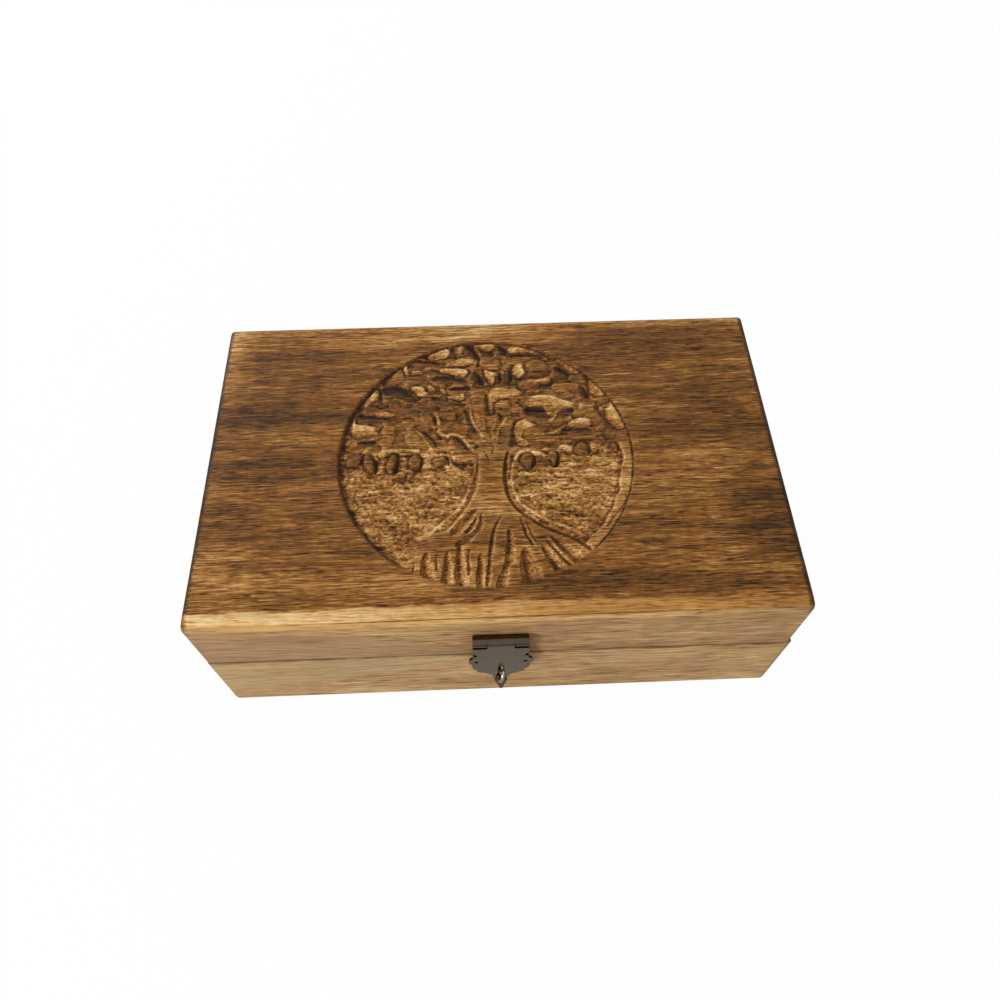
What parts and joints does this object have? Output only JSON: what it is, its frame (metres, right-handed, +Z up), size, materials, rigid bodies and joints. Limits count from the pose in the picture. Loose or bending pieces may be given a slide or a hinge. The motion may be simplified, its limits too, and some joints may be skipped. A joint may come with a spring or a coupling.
{
  "type": "carved wooden box",
  "caption": "Rectangular wooden box with a hinged lid, a tree in a circle carved in the lid's top, and a drop hasp that closes over a staple on the front.",
  "frame": {"origin": "on the base's underside, below the middle of the lid's width and midway from front to back", "axes": "+X along the front to the right, +Y to the hinged back, +Z up"},
  "size_m": [0.254, 0.1661, 0.089],
  "materials": {
    "front_wood": "oiled",
    "side_wood": "oiled",
    "panel_wood": "raw",
    "carved_wood": "burnt and oiled",
    "hinge_metal": "aged",
    "hasp_metal": "aged satin",
    "staple_wire": "bright wire"
  },
  "bodies": {
    "base": {"base_front_board": "front_wood", "base_back_board": "side_wood", "base_left_board": "side_wood", "base_right_board": "side_wood", "base_bottom_panel": "panel_wood", "left_hinge_base_leaf": "hinge_metal", "right_hinge_base_leaf": "hinge_metal", "left_hinge_pin": "hinge_metal", "right_hinge_pin": "hinge_metal", "hinge_base_screws": "hinge_metal", "staple_plate": "hasp_metal", "staple_loop": "staple_wire", "staple_nails": "hasp_metal"},
    "lid": {"lid_top_board": "carved_wood", "lid_front_rail": "front_wood", "lid_back_rail": "side_wood", "lid_left_rail": "side_wood", "lid_right_rail": "side_wood", "left_hinge_lid_leaf": "hinge_metal", "right_hinge_lid_leaf": "hinge_metal", "hinge_lid_screws": "hinge_metal", "hasp_fixed_leaf": "hasp_metal", "hasp_pin": "hasp_metal", "hasp_nails": "hasp_metal"},
    "hasp": {"hasp_plate": "hasp_metal"}
  },
  "joints": [
    {"name": "lid_hinge", "type": "hinge", "parent": "base", "child": "lid", "pos_m": [0, 0.0763, 0.04925], "axis": [-1, 0, 0], "range_deg": [0, 100]},
    {"name": "hasp_hinge", "type": "hinge", "parent": "lid", "child": "hasp", "pos_m": [0, -0.0809, 0.07], "axis": [-1, 0, 0], "range_deg": [0, 175]}
  ]
}
